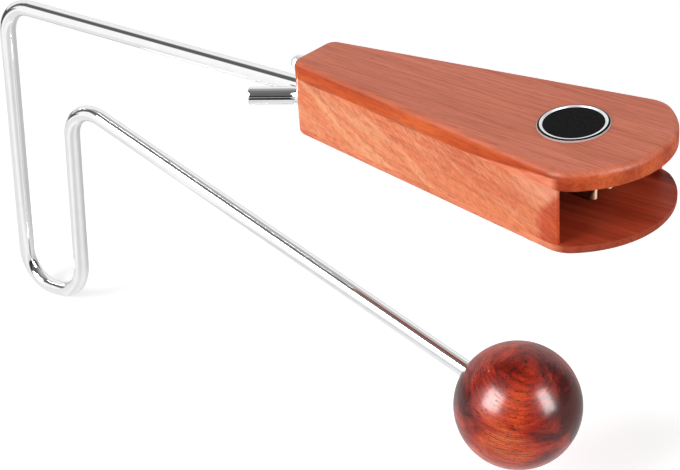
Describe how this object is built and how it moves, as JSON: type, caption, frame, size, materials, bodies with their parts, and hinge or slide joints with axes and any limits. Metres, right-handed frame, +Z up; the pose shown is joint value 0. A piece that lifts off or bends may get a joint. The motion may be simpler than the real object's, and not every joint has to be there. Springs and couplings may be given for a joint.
{
  "type": "vibraslap",
  "caption": "Vibraslap: bent chromed rod handle with a wooden striker ball on one end and, on the other, a fan-shaped wooden box holding a metal leaf hung with loose rattling pins.",
  "frame": {"origin": "middle of the handle's outer leg, on the rod's centre line, where the hand grips", "axes": "+X along the instrument towards the mouth of the sound box, +Y across, +Z up with the box above the ball"},
  "size_m": [0.3241, 0.0599, 0.1573],
  "materials": {
    "box_wood": "satin",
    "ball_wood": "gloss lacquer",
    "rod_chrome": "polished",
    "nut_chrome": "polished",
    "steel": "plain",
    "leaf_steel": "blackened",
    "pin_brass": "bright",
    "badge_black": "gloss",
    "badge_silver": "bright"
  },
  "bodies": {
    "instrument": {"top_plate": "box_wood", "bottom_plate": "box_wood", "core_frame": "box_wood", "bent_rod": "rod_chrome", "striker_ball": "ball_wood", "anchor_pin": "steel", "rattle_plate": "leaf_steel", "clamp_bar": "steel", "clamp_stud": "steel", "washer": "nut_chrome", "cap_nut": "nut_chrome", "badge_disc": "badge_black", "badge_ring": "badge_silver"},
    "pin_01": {"rivet_01": "pin_brass"},
    "pin_02": {"rivet_02": "pin_brass"},
    "pin_03": {"rivet_03": "pin_brass"},
    "pin_04": {"rivet_04": "pin_brass"},
    "pin_05": {"rivet_05": "pin_brass"},
    "pin_06": {"rivet_06": "pin_brass"},
    "pin_07": {"rivet_07": "pin_brass"},
    "pin_08": {"rivet_08": "pin_brass"},
    "pin_09": {"rivet_09": "pin_brass"},
    "pin_10": {"rivet_10": "pin_brass"}
  },
  "joints": [
    {"name": "pin_01_rattle", "type": "slide", "parent": "instrument", "child": "pin_01", "axis": [0, 0, 1], "range_m": [0, 0.0058]},
    {"name": "pin_02_rattle", "type": "slide", "parent": "instrument", "child": "pin_02", "axis": [0, 0, 1], "range_m": [0, 0.0058]},
    {"name": "pin_03_rattle", "type": "slide", "parent": "instrument", "child": "pin_03", "axis": [0, 0, 1], "range_m": [0, 0.0058]},
    {"name": "pin_04_rattle", "type": "slide", "parent": "instrument", "child": "pin_04", "axis": [0, 0, 1], "range_m": [0, 0.0058]},
    {"name": "pin_05_rattle", "type": "slide", "parent": "instrument", "child": "pin_05", "axis": [0, 0, 1], "range_m": [0, 0.0058]},
    {"name": "pin_06_rattle", "type": "slide", "parent": "instrument", "child": "pin_06", "axis": [0, 0, 1], "range_m": [0, 0.0058]},
    {"name": "pin_07_rattle", "type": "slide", "parent": "instrument", "child": "pin_07", "axis": [0, 0, 1], "range_m": [0, 0.0058]},
    {"name": "pin_08_rattle", "type": "slide", "parent": "instrument", "child": "pin_08", "axis": [0, 0, 1], "range_m": [0, 0.0058]},
    {"name": "pin_09_rattle", "type": "slide", "parent": "instrument", "child": "pin_09", "axis": [0, 0, 1], "range_m": [0, 0.0058]},
    {"name": "pin_10_rattle", "type": "slide", "parent": "instrument", "child": "pin_10", "axis": [0, 0, 1], "range_m": [0, 0.0058]}
  ]
}
